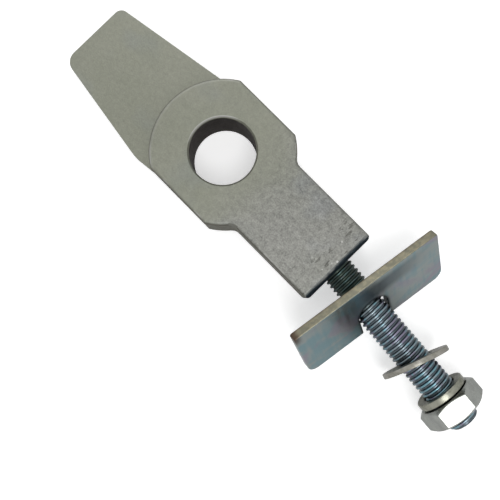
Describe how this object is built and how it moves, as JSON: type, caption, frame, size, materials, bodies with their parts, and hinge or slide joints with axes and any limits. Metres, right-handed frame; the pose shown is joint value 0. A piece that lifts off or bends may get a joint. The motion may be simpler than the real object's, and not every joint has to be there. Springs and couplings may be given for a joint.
{
  "type": "motorcycle chain adjuster",
  "caption": "Forged chain adjuster block with an axle eye and a thin guide tongue, drawn by a threaded stud with a slotted end plate, washers and a nut",
  "frame": {"origin": "centre of the axle bore, half way through the block's thickness", "axes": "+Z along the axle bore, up in the picture's view; +X along the stud towards the nut; +Y to the left seen from the block towards the nut"},
  "size_m": [0.1661, 0.0527, 0.0266],
  "materials": {
    "forging": "satin, as blasted",
    "zinc_steel": "zinc plated, bluish",
    "zinc_plate": "zinc plated, bluish",
    "washer_steel": "zinc plated, dull",
    "nut_steel": "zinc plated, satin"
  },
  "bodies": {
    "root": {"block": "forging", "stud": "zinc_steel"},
    "plate": {"end_plate": "zinc_plate"},
    "washer": {"plain_washer": "washer_steel"},
    "spring": {"spring_washer": "washer_steel"},
    "hex_nut": {"nut": "nut_steel"}
  },
  "joints": [
    {"name": "nut_travel", "type": "slide", "parent": "root", "child": "spring", "axis": [1, 0, 0], "range_m": [-0.02925, 0.003]},
    {"name": "nut_turn", "type": "hinge", "parent": "spring", "child": "hex_nut", "pos_m": [0.1, 0.00372, 0], "axis": [1, 0, 0], "range_deg": [-7021, 721]},
    {"name": "plain_washer_slide", "type": "slide", "parent": "root", "child": "washer", "axis": [1, 0, 0], "range_m": [-0.02196, 0.0023]},
    {"name": "end_plate_slide", "type": "slide", "parent": "root", "child": "plate", "axis": [1, 0, 0], "range_m": [-0.00896, 0.00096]}
  ],
  "couplings": [
    {"joint": "nut_turn", "follows": "nut_travel", "rad_per_m": 4188.8},
    {"joint": "plain_washer_slide", "follows": "nut_travel", "ratio": 0.74969},
    {"joint": "end_plate_slide", "follows": "nut_travel", "ratio": 0.30557}
  ]
}
